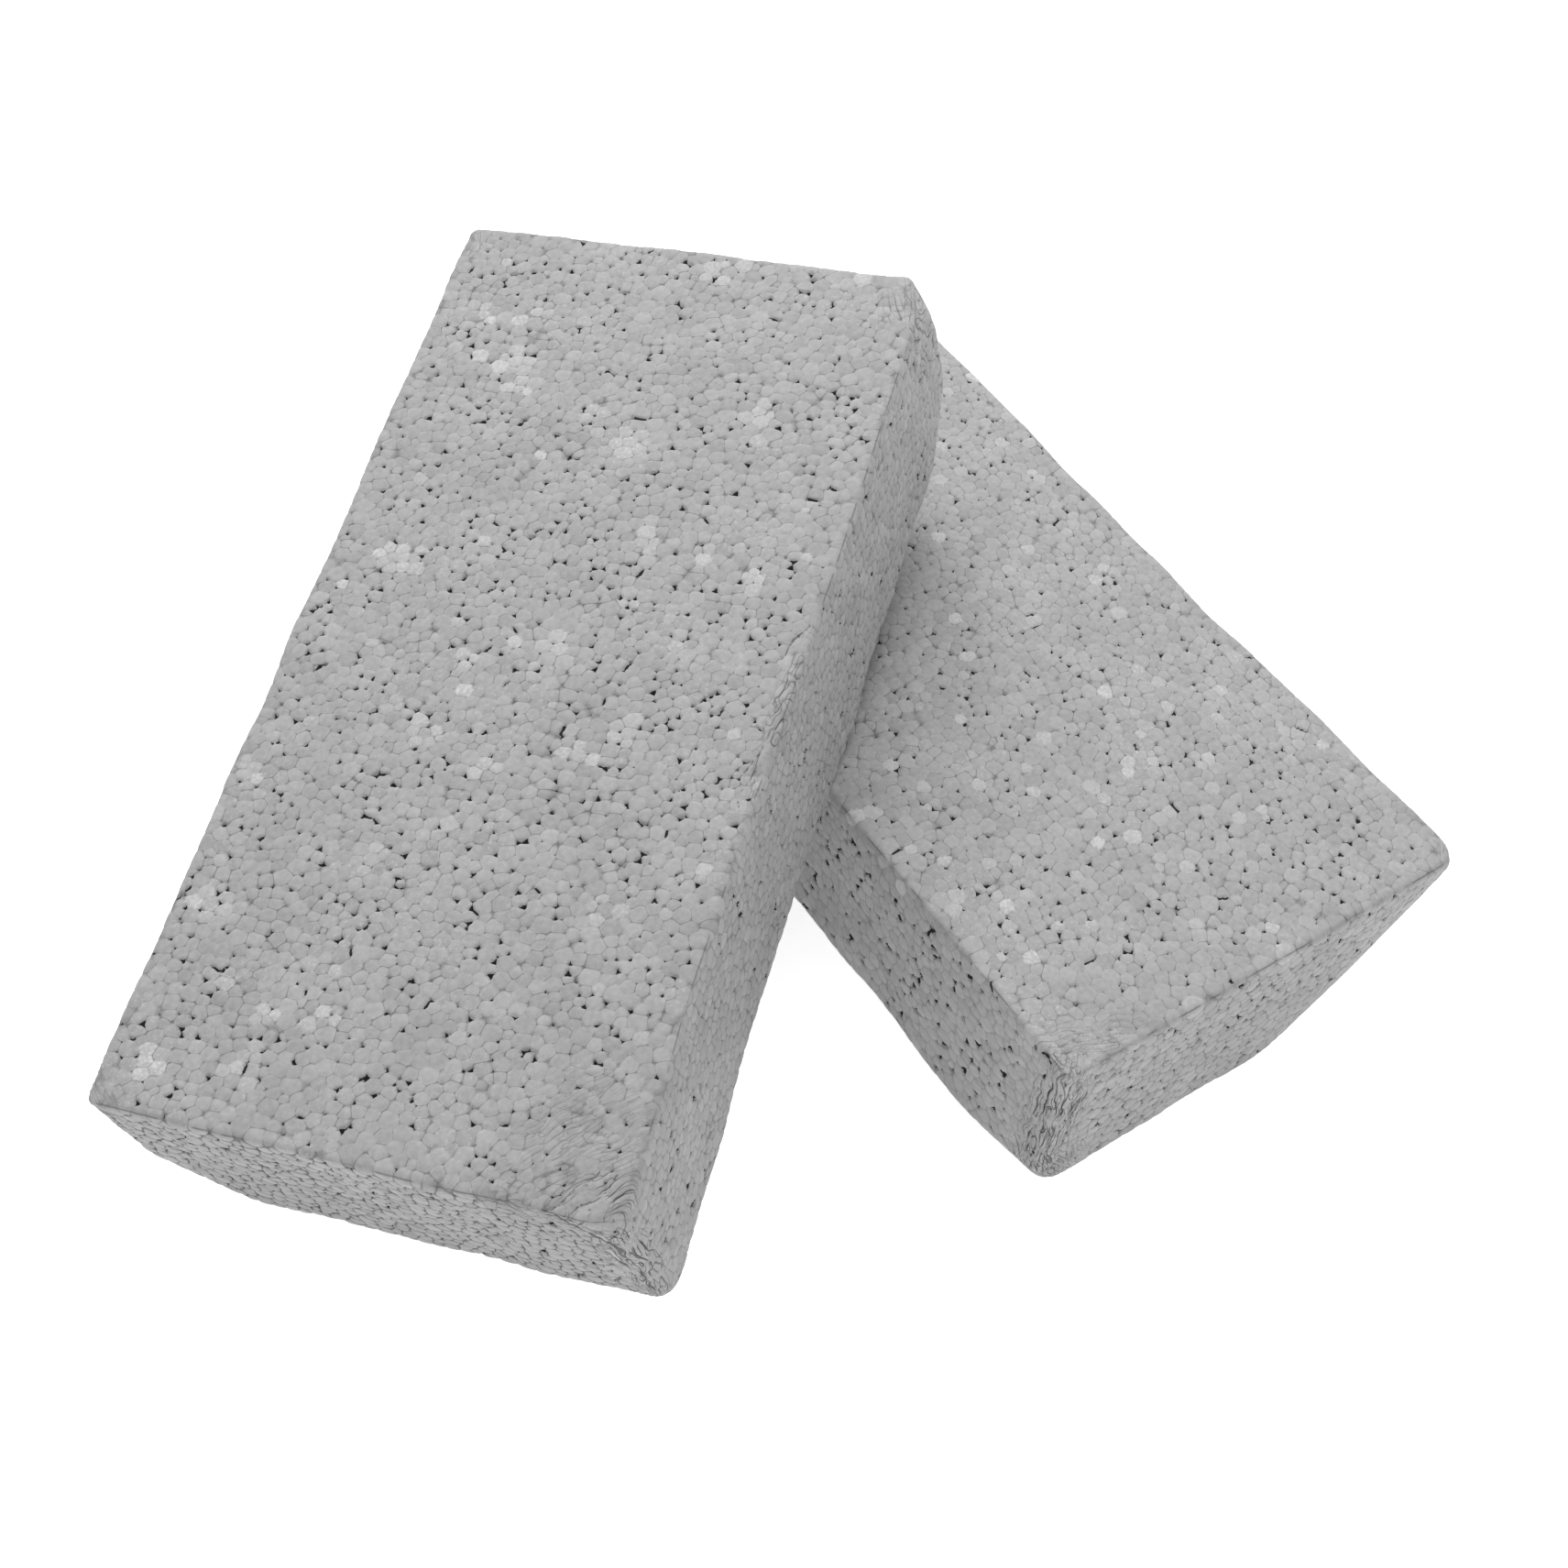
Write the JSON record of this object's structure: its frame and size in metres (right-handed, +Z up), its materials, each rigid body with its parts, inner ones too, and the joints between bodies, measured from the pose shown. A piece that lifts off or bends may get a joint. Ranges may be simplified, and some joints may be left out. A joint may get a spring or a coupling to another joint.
{
  "type": "floral foam brick pair",
  "caption": "Rectangular bricks of fused-bead foam for holding flower stems, one lying flat and one leaning askew on its long edge with a corner on the floor.",
  "frame": {"origin": "centre of the lying brick's underside, on the floor", "axes": "+Z up, +Y along the lying brick's length; the leaning brick rises towards +X and rests on the lying brick's -X top edge"},
  "size_m": [0.2492, 0.2131, 0.1035],
  "materials": {
    "foam": "matte fused beads with open pits between them"
  },
  "bodies": {
    "lying": {"lying_brick": "foam"},
    "leaning": {"leaning_brick": "foam"}
  },
  "joints": [
    {"name": "leaning_brick_lift", "type": "slide", "parent": "lying", "child": "leaning", "axis": [0, 0, 1], "range_m": [0, 0.12]}
  ]
}
